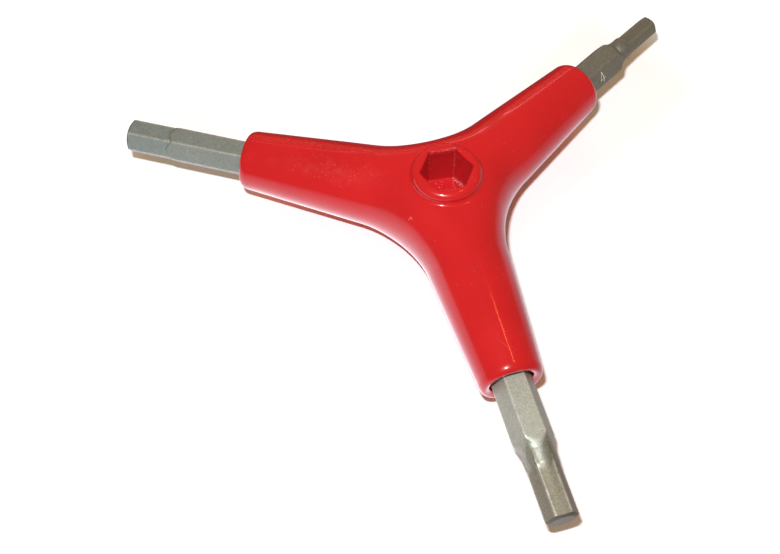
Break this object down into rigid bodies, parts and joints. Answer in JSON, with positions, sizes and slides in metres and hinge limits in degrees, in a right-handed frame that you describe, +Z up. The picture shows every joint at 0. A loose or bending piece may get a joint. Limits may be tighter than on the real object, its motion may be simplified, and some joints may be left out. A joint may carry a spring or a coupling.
{
  "type": "y wrench",
  "caption": "Y-shaped hexagon key wrench with a dipped handle, a hexagonal socket in the hub and a swaged hexagonal bit in each arm.",
  "frame": {"origin": "centre of the flat underside of the hub, on the axis of the hexagonal socket", "axes": "+Z points up out of the socket, and the arm with the 5 mm tip points along -Y"},
  "size_m": [0.1126, 0.0985, 0.0176],
  "materials": {
    "skin": "glossy dipped coating",
    "core": "as cast",
    "bit_steel": "blasted, satin"
  },
  "bodies": {
    "root": {"handle_skin": "skin", "handle_core": "core", "bit_4mm": "bit_steel", "bit_5mm": "bit_steel", "bit_6mm": "bit_steel"}
  },
  "joints": []
}
